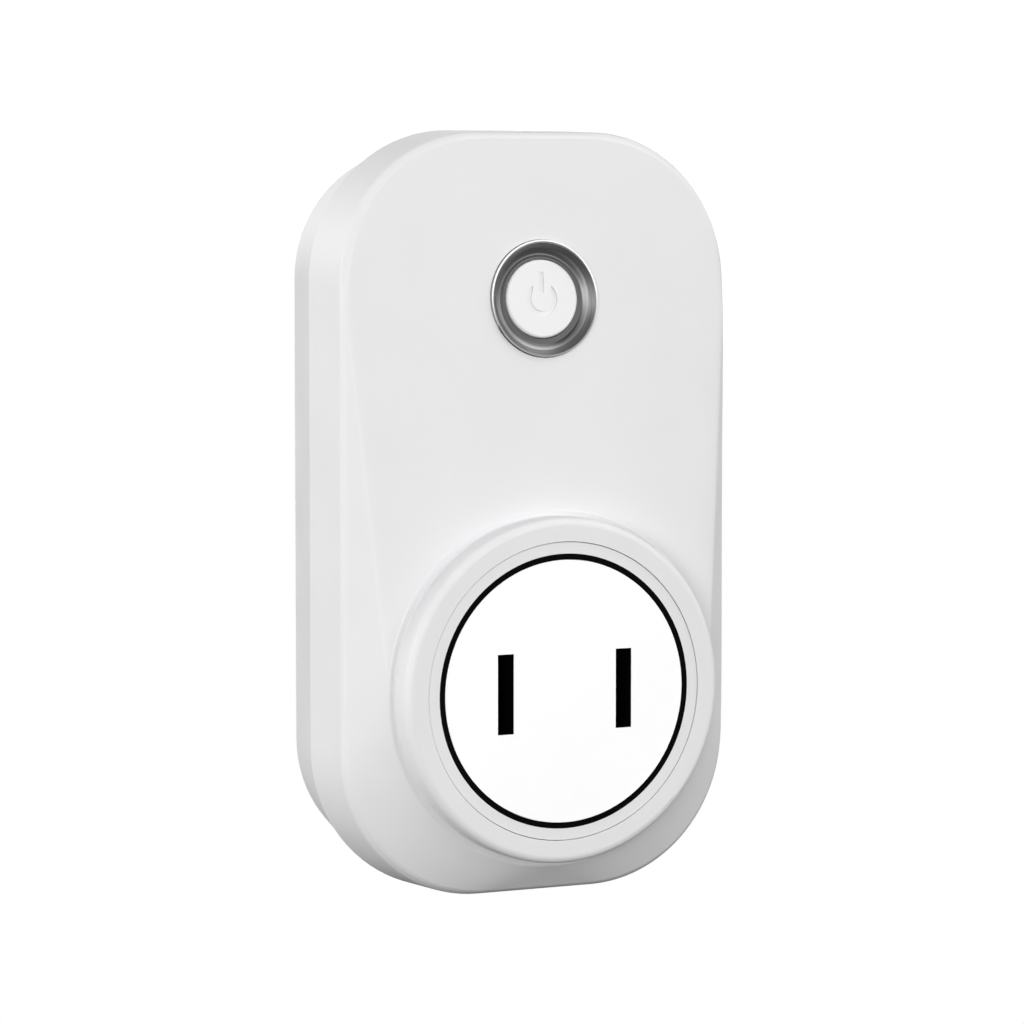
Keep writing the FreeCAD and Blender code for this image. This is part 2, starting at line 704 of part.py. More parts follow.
def contact(label, side):
    """Spring contact: two leaves that grip a blade, on a base with a tail."""
    middle = "(%d * blade_pitch / 2)" % side
    base = "carrier_depth + carrier_floor"
    body = new_body(label)
    leaves = sketch_in(body, "XY_Plane", "-leaf_height / 2")
    half = [
        ("leaf_spread", base),
        ("leaf_pinch", "pinch_depth"),
        ("leaf_mouth", "mouth_depth"),
        ("leaf_mouth - leaf_thick", "mouth_depth"),
        ("leaf_pinch - leaf_thick", "pinch_depth"),
        ("leaf_spread - leaf_thick", base + " + leaf_thick"),
    ]
    right = [("%s + (%s)" % (middle, reach), "-(%s)" % depth) for reach, depth in half]
    left = [("%s - (%s)" % (middle, reach), "-(%s)" % depth) for reach, depth in reversed(half)]
    outline(leaves, right + left)
    pad(body, leaves, "leaf_height")
    tail = sketch_in(body, "XZ_Plane", "tail_depth")
    ends = [TAIL_INNER, TAIL_OUTER] if side > 0 else ["-" + TAIL_OUTER, "-" + TAIL_INNER]
    outline(tail, [(ends[0], "-tail_height / 2"), (ends[1], "-tail_height / 2"),
                   (ends[1], "tail_height / 2"), (ends[0], "tail_height / 2")])
    pad(body, tail, base + " + leaf_thick / 2 - tail_depth")
    return keep(label, body)


# ---------------------------------------------------------------- blades

def blade(label, side):
    """Flat plug blade: chamfered tip with a round hole, and a cross piece inside the plug."""
    body = new_body(label)
    sketch = sketch_in(body, "YZ_Plane", "%d * blade_pitch / 2" % side)
    half, cross = "blade_height / 2", "shoulder_high / 2"
    upper = [
        ("blade_length", half + " - blade_chamfer"),
        ("blade_length - blade_chamfer", half),
        ("-clamp_depth", half),
        ("-clamp_depth", cross),
        ("-clamp_depth - 1", cross),
        ("-clamp_depth - 1", half),
        ("-blade_tail", half),
    ]
    lower = [(y, "-(%s)" % z) for y, z in reversed(upper)]
    outline(sketch, upper + lower)
    pad(body, sketch, "blade_thick", both=True)
    hole = sketch_in(body, "YZ_Plane", "%d * blade_pitch / 2" % side)
    circle(hole, "blade_hole / 2", "blade_hole_reach")
    pocket(body, hole, "2 * blade_thick", both=True)
    return keep(label, body)


def blade_clamp():
    """Block that holds both blades square to the back wall."""
    block = box("clamp_block", "-clamp_width / 2", "clamp_width / 2", "wall_thick", "clamp_depth",
                "-clamp_height / 2", "clamp_height / 2")
    slots = []
    for side in ("blade_pitch / 2", "-blade_pitch / 2"):
        slots.append(box("clamp_slot", "%s - blade_thick / 2 - blade_slack" % side,
                         "%s + blade_thick / 2 + blade_slack" % side, "0", "clamp_depth + 1",
                         "-blade_height / 2 - blade_slack", "blade_height / 2 + blade_slack"))
    return keep("blade_clamp", cut("blade_clamp", block, slots))


# ---------------------------------------------------------------- straps

def strap(label, x_from, points):
    """Flat strap cut from sheet, lying in an upright plane; points are pairs of depth and rise."""
    body = new_body(label)
    sketch = sketch_in(body, "YZ_Plane", x_from)
    outline(sketch, [("-(%s)" % depth, rise) for depth, rise in points])
    pad(body, sketch, "strap_thick")
    return keep(label, body)


def straps():
    """Neutral runs straight through; line goes to the relay on the power board and back."""
    inner_face = "(blade_pitch / 2 - blade_thick / 2)"
    to_board = [
        ("strap_near", "strap_foot"),
        ("power_front", "strap_foot"),
        ("power_front", "strap_top"),
        ("strap_far", "strap_top"),
    ]
    strap("neutral_strap", "-%s" % inner_face,
          [("strap_near", "-strap_low")] + to_board
          + [("strap_far", "strap_low"), ("strap_out_far", "strap_low"), ("strap_out_far", "-strap_low")])
    strap("line_in_strap", "%s - strap_thick" % inner_face,
          [("strap_near", "-strap_low")] + to_board + [("strap_far", "-strap_low")])
    strap("line_out_strap", TAIL_OUTER, [
        ("strap_out_near", "-tail_height / 2"),
        ("strap_out_near", "strap_foot"),
        ("power_front", "strap_foot"),
        ("power_front", "strap_top"),
        ("strap_out_far", "strap_top"),
        ("strap_out_far", "-tail_height / 2"),
    ])


# ---------------------------------------------------------------- button

def button_ring():
    """Bright dished ring: raised outer lip, hollow dish, and a flange behind the face."""
    return keep("button_ring", lean(turned("button_ring", [
        ("ring_lip", "ring_radius"),
        ("ring_lip", "ring_radius - ring_lip_width"),
        ("ring_slope", "ring_slope_radius"),
        ("ring_dish", "ring_dish_radius"),
        ("ring_inner_lip", "ring_inner_radius"),
        ("ring_inner_lip", "ring_bore"),
        ("ring_pocket_end", "ring_bore"),
        ("ring_pocket_end", "ring_pocket"),
        ("ring_back", "ring_pocket"),
        ("ring_back", "ring_flange"),
        ("ring_seat", "ring_flange"),
        ("ring_seat", "ring_radius"),
    ])))


def button_cap():
    """Push button with a sunk power sign, a flange behind the ring and a stem to the switch."""
    body = turned("button_cap", [
        ("cap_front", "0"),
        ("cap_front", "cap_radius"),
        ("cap_flange_front", "cap_radius"),
        ("cap_flange_front", "cap_flange"),
        ("cap_flange_back", "cap_flange"),
        ("cap_flange_back", "stem_radius"),
        ("stem_back", "stem_radius"),
        ("stem_back", "0"),
    ])
    dress("Fillet", body, ring_edge("cap_front", "cap_radius"), "cap_round")
    arc_sign(body)
    bar = sketch_in(body, "XZ_Plane", "cap_front")
    outline(bar, [("-symbol_bar / 2", "symbol_bar_low"), ("symbol_bar / 2", "symbol_bar_low"),
                  ("symbol_bar / 2", "symbol_bar_high"), ("-symbol_bar / 2", "symbol_bar_high")])
    pocket(body, bar, "symbol_sink")
    return keep("button_cap", lean(body))


def arc_sign(body):
    """The open ring of the power sign, sunk as a groove with a gap at the top."""
    sketch = sketch_in(body, "XZ_Plane", "cap_front")
    inner, outer = "symbol_radius - symbol_line / 2", "symbol_radius + symbol_line / 2"
    edge = value("symbol_gap") / 2
    ends = []
    for radius in (outer, inner):
        size = value(radius)
        high = (size ** 2 - edge ** 2) ** 0.5
        whole = Part.Circle(FreeCAD.Vector(), FreeCAD.Vector(0, 0, 1), size)
        begin = whole.parameter(FreeCAD.Vector(-edge, high, 0))
        finish = whole.parameter(FreeCAD.Vector(edge, high, 0)) + 6.283185307179586
        sketch.addGeometry(Part.ArcOfCircle(whole, begin, finish), False)
        ends.append(high)
    for side in (-edge, edge):
        begin, finish = FreeCAD.Vector(side, ends[0], 0), FreeCAD.Vector(side, ends[1], 0)
        sketch.addGeometry(Part.LineSegment(begin, finish), False)
    for line, end in ((2, 1), (3, 2)):
        sketch.addConstraint(Sketcher.Constraint("Coincident", line, 1, 0, end))
        sketch.addConstraint(Sketcher.Constraint("Coincident", line, 2, 1, end))
    for arc, radius in ((0, outer), (1, inner)):
        sketch.addConstraint(Sketcher.Constraint("Coincident", arc, 3, -1, 1))
        fix(sketch, "Radius", arc, radius)
    for line, sign in ((2, "-"), (3, "")):
        sketch.addConstraint(Sketcher.Constraint("Vertical", line))
        fix(sketch, "DistanceX", -1, 1, line, 1, sign + "symbol_gap / 2")
    pocket(body, sketch, "symbol_sink")


# ---------------------------------------------------------------- boards

def board(label, half, low, high, corner, back, front, holes):
    """Circuit board parallel to the wall, with round screw holes."""
    body = new_body(label)
    sketch = sketch_in(body, "XZ_Plane", back)
    rounded_rectangle(sketch, "2 * (%s)" % half, "%s - %s" % (high, low), corner,
                      "(%s + %s) / 2" % (high, low))
    for x, rise in holes:
        circle(sketch, "board_hole_radius", x, rise)
    pad(body, sketch, "%s - %s" % (front, back))
    return keep(label, body)


def switch_parts():
    """Push switch on the control board: moulded base, metal lid, and the plunger that moves."""
    room = rod("plunger_room", "plunger_hole", "0", "button_rise", "switch_floor", "switch_depth + 1")
    low, high = "button_rise - switch_half", "button_rise + switch_half"
    base = box("switch_block", "-switch_half", "switch_half", "control_front", "switch_depth", low, high)
    keep("switch_base", cut("switch_base", base, [room]))
    plate = box("switch_plate", "-switch_half", "switch_half", "switch_depth", "switch_depth + switch_lid",
                low, high)
    opening = rod("lid_opening", "plunger_hole", "0", "button_rise", "switch_depth - 1",
                  "switch_depth + switch_lid + 1")
    keep("switch_lid", cut("switch_lid", plate, [opening]))
    keep("switch_plunger", rod("switch_plunger", "plunger_radius", "0", "button_rise",
                               "plunger_back", "plunger_front"))


def radio_parts():
    """Wireless module: small board with a metal shield can and a bare aerial end."""
    keep("radio_board", box("radio_board", "radio_left", "radio_right", "control_front",
                            "control_front + radio_thick", "radio_low", "radio_high"))
    keep("radio_shield", box("radio_shield", "radio_left + shield_margin", "radio_right - shield_margin",
                             "control_front + radio_thick", "control_front + radio_thick + shield_high",
                             "radio_low + shield_margin", "shield_top"))


def status_light():
    return keep("status_light", box("status_light", "led_left", "led_right", "control_front",
                                    "control_front + led_high", "button_rise - led_half",
                                    "button_rise + led_half"))


def transformer():
    """Core frame, moulded bobbin round its middle leg, and the winding on the bobbin."""
    front = "(power_front + core_tall)"
    low_in, high_in = "(core_low + core_leg)", "(core_high - core_leg)"
    inner = "(core_half - core_leg)"
    leg = "core_middle"
    outer = box("core_block", "-core_half", "core_half", "power_front + bobbin_wall", front,
                "core_low", "core_high")
    windows = []
    for name, left, right in (("left_window", "-" + inner, "-" + leg), ("right_window", leg, inner)):
        windows.append(box(name, left, right, "power_front - 1", front + " + 1", low_in, high_in))
    keep("transformer_core", cut("transformer_core", outer, windows))
    tube = box("bobbin_block", "-(%s - bobbin_gap)" % inner, inner + " - bobbin_gap", "power_front",
               front + " + bobbin_wall", low_in + " + bobbin_gap", high_in + " - bobbin_gap")
    shaft = box("bobbin_shaft", "-(%s + bobbin_gap)" % leg, leg + " + bobbin_gap",
                "power_front + bobbin_wall - bobbin_gap", front + " + bobbin_gap",
                "core_low - 1", "core_high + 1")
    sleeve = [("-%s" % inner, "-(%s + bobbin_gap + bobbin_wall)" % leg),
              ("%s + bobbin_gap + bobbin_wall" % leg, inner)]
    rooms = [box("winding_room", left, right, "power_front + 2 * bobbin_wall", front + " - bobbin_wall",
                 "core_low - 1", "core_high + 1") for left, right in sleeve]
    keep("transformer_bobbin", cut("transformer_bobbin", tube, [shaft] + rooms))
    coils = [box("coil", left, right, "power_front + 2 * bobbin_wall + bobbin_gap",
                 front + " - bobbin_wall - bobbin_gap", low_in + " + bobbin_gap", high_in + " - bobbin_gap")
             for left, right in (("-%s + winding_sink" % inner, "-(%s + 2 * bobbin_gap + bobbin_wall)" % leg),
                                 ("%s + 2 * bobbin_gap + bobbin_wall" % leg, inner + " - winding_sink"))]
    for label, coil in zip(("primary_winding", "secondary_winding"), coils):
        keep(label, coil)


def capacitor(label, x, rise, radius, tall):
    """Round can standing on the board, with a crimp near its foot."""
    foot, neck = "power_front", "power_front + can_groove_at"
    return keep(label, turned(label, [
        (foot, "0"),
        (foot, radius),
        (neck, radius),
        (neck + " + can_groove", radius + " - can_groove"),
        (neck + " + 2 * can_groove", radius),
        ("power_front + %s - can_groove" % tall, radius),
        ("power_front + " + tall, radius + " - can_groove"),
        ("power_front + " + tall, "0"),
    ], x, rise))


def power_parts():
    """Mains parts on the power board."""
    front = "power_front"
    keep("relay", box("relay", "-relay_half", "relay_half", front, front + " + relay_tall",
                      "relay_low", "relay_high"))
    keep("film_capacitor", box("film_capacitor", "film_left", "film_right", front, front + " + film_tall",
                               "film_low", "film_high"))
    keep("rectifier", box("rectifier", "rectifier_left", "rectifier_right", front,
                          front + " + rectifier_tall", "rectifier_low", "rectifier_high"))
    disc = new_body("varistor")
    sketch = sketch_in(disc, "YZ_Plane", "varistor_left", "varistor_rise")
    circle(sketch, "varistor_radius", "-(power_front + varistor_radius + varistor_lift)")
    pad(disc, sketch, "varistor_right - varistor_left")
    keep("varistor", disc)
    capacitor("input_capacitor", "input_cap_x", "input_cap_rise", "input_cap_radius", "input_cap_tall")
    capacitor("output_capacitor", "output_cap_x", "output_cap_rise", "output_cap_radius", "output_cap_tall")


def fuse_link():
    """Small tube fuse lying across the board, with a wider cap at each end."""
    body = new_body("fuse")
    lift = "-(power_front + fuse_radius + fuse_lift)"
    for start, length, radius in (
            ("fuse_left", "fuse_cap", "fuse_radius"),
            ("fuse_left + fuse_cap", "fuse_right - fuse_left - 2 * fuse_cap", "fuse_neck"),
            ("fuse_right - fuse_cap", "fuse_cap", "fuse_radius")):
        sketch = sketch_in(body, "YZ_Plane", start, "fuse_rise")
        circle(sketch, radius, lift)
        pad(body, sketch, length)
    return keep("fuse", body)


def header():
    """Pin strip between the two boards: moulded bar and its pins."""
    right = "header_left + %d * header_pitch" % PIN_COUNT
    keep("header_bar", box("header_bar", "header_left", right,
                           "power_front", "power_front + header_high",
                           "header_rise - header_high / 2", "header_rise + header_high / 2"))
    pins = []
    for place in range(PIN_COUNT):
        middle = "header_left + %g * header_pitch" % (place + 0.5)
        pins.append(box("header_pin", middle + " - pin_size / 2", middle + " + pin_size / 2",
                        "power_front + header_high", "control_back",
                        "header_rise - pin_size / 2", "header_rise + pin_size / 2"))
    keep("header_pins", fuse("header_pins", pins))


# ---------------------------------------------------------------- screws

def screw(label, x, rise, seat, head_radius, head_high, shank_radius, length):
    """Pan screw with a cross slot; a positive length points out of the wall, a negative one into it."""
    sign = 1 if value(length) > 0 else -1
    top = "%s - %d * %s" % (seat, sign, head_high)
    body = turned(label, [
        (top, "0"),
        (top, "%s * head_crown" % head_radius),
        ("%s - %d * %s / 2" % (seat, sign, head_high), head_radius),
        (seat, head_radius),
        (seat, shank_radius),
        ("%s + %s" % (seat, length), shank_radius),
        ("%s + %s" % (seat, length), "0"),
    ], x, rise)
    slot = sketch_in(body, "XZ_Plane", top, rise)
    wide, span = "drive_width / 2", "drive_span / 2"
    arms = [(span, wide), (wide, wide), (wide, span)]
    quarters = arms + [("-(%s)" % across, up) for across, up in reversed(arms)]
    cross = quarters + [(across, "-(%s)" % up) for across, up in reversed(quarters)]
    outline(slot, [("%s + %s" % (x, across), up) for across, up in cross])
    pocket(body, slot, "drive_sink * %s" % head_high, back=sign > 0)
    return body


def screws():
    """Four housing screws, and four shorter board screws, one node for each kind."""
    housing = [screw("housing_screw", x, rise, "seat_depth", "head_radius", "head_high", "shank_radius",
                     "shank_length") for x, rise in SCREW_SPOTS]
    keep("housing_screws", fuse("housing_screws", housing))
    small = [screw("board_screw", x, rise, "control_back", "board_head_radius", "board_head_high",
                   "board_shank_radius", "board_shank_length") for x, rise in PEG_SPOTS]
    small += [screw("board_screw", x, rise, "power_front", "board_head_radius", "board_head_high",
                    "board_shank_radius", "-board_shank_length") for x, rise in STAND_SPOTS]
    keep("board_screws", fuse("board_screws", small))


# ---------------------------------------------------------------- build

def build():
    fill_sheet()
    front_cover()
    rear_cover()
    socket_collar()
    socket_trim_ring()
    socket_face()
    contact_carrier()
    contact("line_contact", 1)
    contact("neutral_contact", -1)
    blade("line_blade", 1)
    blade("neutral_blade", -1)
    blade_clamp()
    straps()
    button_ring()
    button_cap()
    board("control_board", "control_width / 2", "control_low", "control_high", "control_corner",
          "control_back", "control_front", PEG_SPOTS)
    switch_parts()
    status_light()
    radio_parts()
    board("power_board", "power_half", "power_low", "power_high", "power_corner",
          "power_back", "power_front", STAND_SPOTS)
    power_parts()
    transformer()
    fuse_link()
    header()
    screws()


def check():
    """Every object must be up to date and every sub-part must be a sound solid."""
    doc.recompute()
    for thing in doc.Objects:
        if "Invalid" in thing.State or "Error" in thing.State:
            raise RuntimeError("%s is %s" % (thing.Label, thing.State))
    for part in sub_parts:
        if part.Shape.isNull() or not part.Shape.isValid() or part.Shape.Volume <= 0:
            raise RuntimeError("%s has no sound shape" % part.Label)
        print("%-20s %8.1f mm3, %d solid" % (part.Label, part.Shape.Volume, len(part.Shape.Solids)))


def write():
    os.makedirs("parts", exist_ok=True)
    for part in sub_parts:
        part.Shape.exportStep("parts/%s.step" % part.Label)


build()
check()
write()
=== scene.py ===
"""Looks of a smart plug: an upright rounded body with a round outlet in front and a push button above it.

Everything is in metres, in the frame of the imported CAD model: +Z up, -Y out of the wall, +X to the right.
"""

import json
import math

import bpy
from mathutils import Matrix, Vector


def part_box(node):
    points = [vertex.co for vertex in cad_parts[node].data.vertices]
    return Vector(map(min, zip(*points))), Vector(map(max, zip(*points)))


MM = 0.001
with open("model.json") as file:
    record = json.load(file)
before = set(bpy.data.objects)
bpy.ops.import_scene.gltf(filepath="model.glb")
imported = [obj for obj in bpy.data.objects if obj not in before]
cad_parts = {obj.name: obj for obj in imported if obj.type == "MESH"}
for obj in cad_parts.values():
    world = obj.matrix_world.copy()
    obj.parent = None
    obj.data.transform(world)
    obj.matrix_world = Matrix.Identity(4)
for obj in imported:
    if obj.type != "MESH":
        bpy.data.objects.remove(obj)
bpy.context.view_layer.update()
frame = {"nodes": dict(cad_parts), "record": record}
nodes = frame["nodes"]
scene = bpy.context.scene


# ---------------------------------------------------------------- camera
LENS = 137.3
SENSOR = 36.0
AIM = Vector((-2.75, -24.0, 17.04)) * MM
CAMERA_DISTANCE = 380.15 * MM
CAMERA_AZIMUTH = math.radians(-25.83)
CAMERA_ELEVATION = math.radians(4.33)
CLIP_START, CLIP_END = 0.01, 20.0


def direction(azimuth, elevation):
    """The unit vector towards a place at that azimuth, where 0 is straight in front, and that elevation."""
    return Vector((math.sin(azimuth) * math.cos(elevation),
                   -math.cos(azimuth) * math.cos(elevation),
                   math.sin(elevation)))


def make_camera():
    """A long lens at the photograph's viewing angle, upright."""
    data = bpy.data.cameras.new("camera")
    data.lens = LENS
    data.sensor_width = SENSOR
    data.clip_start = CLIP_START
    data.clip_end = CLIP_END
    camera = bpy.data.objects.new("camera", data)
    back = direction(CAMERA_AZIMUTH, CAMERA_ELEVATION)
    camera.location = AIM + back * CAMERA_DISTANCE
    camera.rotation_mode = "QUATERNION"
    camera.rotation_quaternion = (-back).to_track_quat("-Z", "Y")
    scene.collection.objects.link(camera)
    scene.camera = camera


# ---------------------------------------------------------------- light
# Name, azimuth and elevation in degrees, distance, width and height in metres, power in watts.
SOFTBOXES = (
    ("rear_left_softbox", -100.0, 1.0, 0.72, 0.34, 0.21, 1.3),
    ("back_left_softbox", -130.0, 12.0, 0.70, 0.34, 0.60, 1.0),
    ("left_softbox", -40.0, 1.0, 0.72, 0.34, 0.21, 2.3),
    ("front_right_softbox", 20.0, 12.0, 0.70, 0.34, 0.60, 0.95),
    ("high_right_softbox", 60.0, 50.0, 0.70, 0.50, 0.40, 2.0),
)
# Brightness of the room by the sine of the elevation, from straight down to straight up.
ROOM_LEVELS = ((-1.0, 0.0), (0.0, 0.0), (0.2, 2.9), (0.5, 0.4), (1.0, 0.0))
# A little over full white, so that the background the camera sees has no grey in it.
BACKDROP_STRENGTH = 1.05


def softbox(name, azimuth, elevation, distance, width, height, power):
    """A rectangular studio light that faces the middle of the object."""
    data = bpy.data.lights.new(name, "AREA")
    data.shape = "RECTANGLE"
    data.size = width
    data.size_y = height
    data.energy = power
    light = bpy.data.objects.new(name, data)
    away = direction(math.radians(azimuth), math.radians(elevation))
    light.location = AIM + away * distance
    light.rotation_mode = "QUATERNION"
    light.rotation_quaternion = away.to_track_quat("Z", "Y")
    light.visible_camera = False
    scene.collection.objects.link(light)


def shape_level_curve(level):
    """Bends a float curve node through ROOM_LEVELS in straight lines."""
    curve = level.mapping.curves[0]
    level.mapping.use_clip = False
    for point, (height, _) in zip(curve.points, (ROOM_LEVELS[0], ROOM_LEVELS[-1])):
        point.location = (height, 0.0)
    for height, _ in ROOM_LEVELS[1:-1]:
        curve.points.new(height, 0.0)
    for point, (height, brightness) in zip(curve.points, ROOM_LEVELS):
        point.location = (height, brightness)
        point.handle_type = "VECTOR"
    level.mapping.update()


def make_world():
    """Plain white to the camera. To all else it is a room with one bright band above the horizon."""
    world = bpy.data.worlds.new("room")
    world.use_nodes = True
    scene.world = world
    tree = world.node_tree
    tree.nodes.clear()
    place = tree.nodes.new("ShaderNodeTexCoord")
    split = tree.nodes.new("ShaderNodeSeparateXYZ")
    level = tree.nodes.new("ShaderNodeFloatCurve")
    shape_level_curve(level)
    room = tree.nodes.new("ShaderNodeBackground")
    seen = tree.nodes.new("ShaderNodeBackground")
    path = tree.nodes.new("ShaderNodeLightPath")
    mix = tree.nodes.new("ShaderNodeMixShader")
    out = tree.nodes.new("ShaderNodeOutputWorld")
    link = tree.links.new
    link(place.outputs["Generated"], split.inputs[0])
    link(split.outputs["Z"], level.inputs["Value"])
    link(level.outputs[0], room.inputs["Strength"])
    link(path.outputs["Is Camera Ray"], mix.inputs["Fac"])
    link(room.outputs[0], mix.inputs[1])
    link(seen.outputs[0], mix.inputs[2])
    link(mix.outputs[0], out.inputs["Surface"])
    seen.inputs["Color"].default_value = (1.0, 1.0, 1.0, 1.0)
    seen.inputs["Strength"].default_value = BACKDROP_STRENGTH


# ---------------------------------------------------------------- materials
class Look:
    """A material grown node by node round one principled shader, in the frame's own coordinates."""

    def __init__(self, name, colour, roughness, metallic=0.0, specular=0.5):
        self.material = bpy.data.materials.new(name)
        self.material.use_nodes = True
        self.tree = self.material.node_tree
        self.tree.nodes.clear()
        self.out = self.add("OutputMaterial")
        self.shader = self.principled(colour, roughness, specular)
        self.shader.inputs["Metallic"].default_value = metallic
        self.link(self.shader.outputs[0], self.out.inputs["Surface"])
        self.place = self.add("TexCoord").outputs["Object"]
        self.normal = None

    def add(self, kind, **settings):
        """A new shader node of that kind."""
        node = self.tree.nodes.new("ShaderNode" + kind)
        for key, value in settings.items():
            setattr(node, key, value)
        return node

    def link(self, source, target):
        self.tree.links.new(source, target)

    def feed(self, socket, value):
        """Gives a socket a plain number or another node's output."""
        if isinstance(value, (int, float)):
            socket.default_value = value
        else:
            self.link(value, socket)

    def principled(self, colour, roughness, specular):
        shader = self.add("BsdfPrincipled")
        shader.inputs["Base Color"].default_value = (*colour, 1.0)
        shader.inputs["Roughness"].default_value = roughness
        shader.inputs["Specular IOR Level"].default_value = specular
        return shader

    def stretched(self, x, y, z):
        """The place, scaled unevenly, so that a pattern on it runs in streaks."""
        node = self.add("Mapping")
        node.inputs["Scale"].default_value = (x, y, z)
        self.link(self.place, node.inputs["Vector"])
        return node.outputs["Vector"]

    def noise(self, grain_mm, detail, at=None, distortion=0.0):
        """Cloudy noise with features about that many millimetres across, from 0 to 1."""
        node = self.add("TexNoise")
        node.inputs["Scale"].default_value = 1.0 / (grain_mm * MM)
        node.inputs["Detail"].default_value = detail
        node.inputs["Distortion"].default_value = distortion
        self.link(at or self.place, node.inputs["Vector"])
        return node.outputs["Fac"]

    def cells(self, size_mm, feature="F1"):
        """Distance inside a field of scattered cells of that size."""
        node = self.add("TexVoronoi", feature=feature)
        node.inputs["Scale"].default_value = 1.0 / (size_mm * MM)
        self.link(self.place, node.inputs["Vector"])
        return node.outputs["Distance"]

    def spread(self, value, low, high, start=0.3, end=0.7):
        """The value from start to end, spread over low to high."""
        node = self.add("MapRange")
        for socket, number in (("From Min", start), ("From Max", end), ("To Min", low), ("To Max", high)):
            node.inputs[socket].default_value = number
        self.link(value, node.inputs["Value"])
        return node.outputs["Result"]

    def blend(self, amount, first, second):
        """A colour between two: each is a colour or another node's output."""
        node = self.add("Mix", data_type="RGBA")
        self.link(amount, node.inputs[0])
        for socket, colour in ((node.inputs[6], first), (node.inputs[7], second)):
            if isinstance(colour, tuple):
                socket.default_value = (*colour, 1.0)
            else:
                self.link(colour, socket)
        return node.outputs[2]

    def maths(self, operation, *values):
        """The result of a math node on one or two values: each is a number or another node's output."""
        node = self.add("Math", operation=operation)
        for socket, value in zip(node.inputs, values):
            self.feed(socket, value)
        return node.outputs[0]

    def vector(self, x, y, z=0.0):
        node = self.add("CombineXYZ")
        for socket, value in zip(node.inputs, (x, y, z)):
            self.feed(socket, value)
        return node.outputs[0]

    def along(self, axis):
        """The place along one axis of the frame, in metres."""
        split = self.add("SeparateXYZ")
        self.link(self.place, split.inputs[0])
        return split.outputs[axis]

    def round_axis(self, x, z):
        """Distance from an axis that points along Y, and the angle round it, in metres and radians."""
        across = self.maths("SUBTRACT", self.along("X"), x)
        up = self.maths("SUBTRACT", self.along("Z"), z)
        squares = self.maths("ADD", self.maths("POWER", across, 2.0), self.maths("POWER", up, 2.0))
        return self.maths("SQRT", squares), self.maths("ARCTAN2", up, across)

    def colour(self, output):
        self.link(output, self.shader.inputs["Base Color"])

    def roughness(self, output):
        self.link(output, self.shader.inputs["Roughness"])

    def bump(self, height, depth_mm, strength):
        """Adds relief of that depth. Calls stack: each bump works on the normal of the one before."""
        node = self.add("Bump")
        node.inputs["Strength"].default_value = strength
        node.inputs["Distance"].default_value = depth_mm * MM
        self.link(height, node.inputs["Height"])
        if self.normal is not None:
            self.link(self.normal, node.inputs["Normal"])
        self.normal = node.outputs["Normal"]
        self.link(self.normal, self.shader.inputs["Normal"])

    def paint_shade_where(self, amount):
        """Painted shade: turns to a dull black that hardly reflects where the amount is 1."""
        black = self.principled((0.0015, 0.0015, 0.0015), 0.8, 0.02)
        either = self.add("MixShader")
        self.link(amount, either.inputs[0])
        self.link(self.shader.outputs[0], either.inputs[1])
        self.link(black.outputs[0], either.inputs[2])
        self.link(either.outputs[0], self.out.inputs["Surface"])


TONE_DRIFT_MM = 9.0
SURFACE_WAVE_MM = 14.0
SURFACE_WAVE_DEPTH = 0.02


def moulded(name, colour, shade, roughness, grain_mm, grain_depth, specular=0.5):
    """Moulded plastic: fine spark-eroded grain, slow drift of tone, and a faintly wavy surface."""
    look = Look(name, colour, roughness, specular=specular)
    cloud = look.noise(TONE_DRIFT_MM, detail=4.0)
    look.colour(look.blend(look.spread(cloud, 0.0, 1.0), shade, colour))
    grain = look.noise(grain_mm, detail=2.0)
    drift = look.spread(cloud, roughness * 0.92, roughness * 1.08)
    look.roughness(look.maths("ADD", drift, look.spread(grain, -0.03, 0.03)))
    look.bump(look.noise(SURFACE_WAVE_MM, detail=1.0), SURFACE_WAVE_DEPTH, 0.35)
    look.bump(grain, grain_depth, 0.5)
    return look


ROLLED_GRAIN_MM = 0.12
STAIN_MM = 2.5
ROLLED_DEPTH = 0.002


def brushed(name, colour, shade, roughness, streaks):
    """Sheet metal with a fine rolled grain that runs one way, and faint stains from handling."""
    look = Look(name, colour, roughness, metallic=1.0)
    grain = look.noise(ROLLED_GRAIN_MM, detail=3.0, at=look.stretched(*streaks))
    stain = look.noise(STAIN_MM, detail=4.0, distortion=0.5)
    worn = look.blend(look.spread(stain, 0.0, 0.7), colour, shade)
    look.colour(look.blend(look.spread(grain, 0.0, 0.5), worn, shade))
    look.roughness(look.maths("ADD", look.spread(stain, roughness * 0.8, roughness * 1.2),
                              look.spread(grain, -0.04, 0.04)))
    look.bump(grain, ROLLED_DEPTH, 0.6)
    return look


TRACK_FIELD_MM = 2.2
TRACK_DEPTH = 0.03
GLASS_WEAVE_MM = 0.25
GLASS_WEAVE_DEPTH = 0.003


def solder_mask():
    """Green lacquer over copper tracks that stand up slightly and show paler through it."""
    look = Look("circuit_board", (0.010, 0.105, 0.040), 0.30)
    ways = look.cells(TRACK_FIELD_MM, feature="DISTANCE_TO_EDGE")
    tracks = look.spread(ways, 1.0, 0.0, start=0.06, end=0.09)
    weave = look.noise(GLASS_WEAVE_MM, detail=2.0)
    bare = look.blend(look.spread(weave, 0.0, 1.0), (0.006, 0.062, 0.026), (0.010, 0.085, 0.034))
    look.colour(look.blend(tracks, bare, (0.020, 0.170, 0.060)))
    look.roughness(look.spread(weave, 0.24, 0.36))
    look.bump(tracks, TRACK_DEPTH, 0.8)
    look.bump(weave, GLASS_WEAVE_DEPTH, 0.5)
    return look


PIT_MM = 0.18
PIT_DEPTH = 0.01
SINTER_CLOUD_MM = 1.6


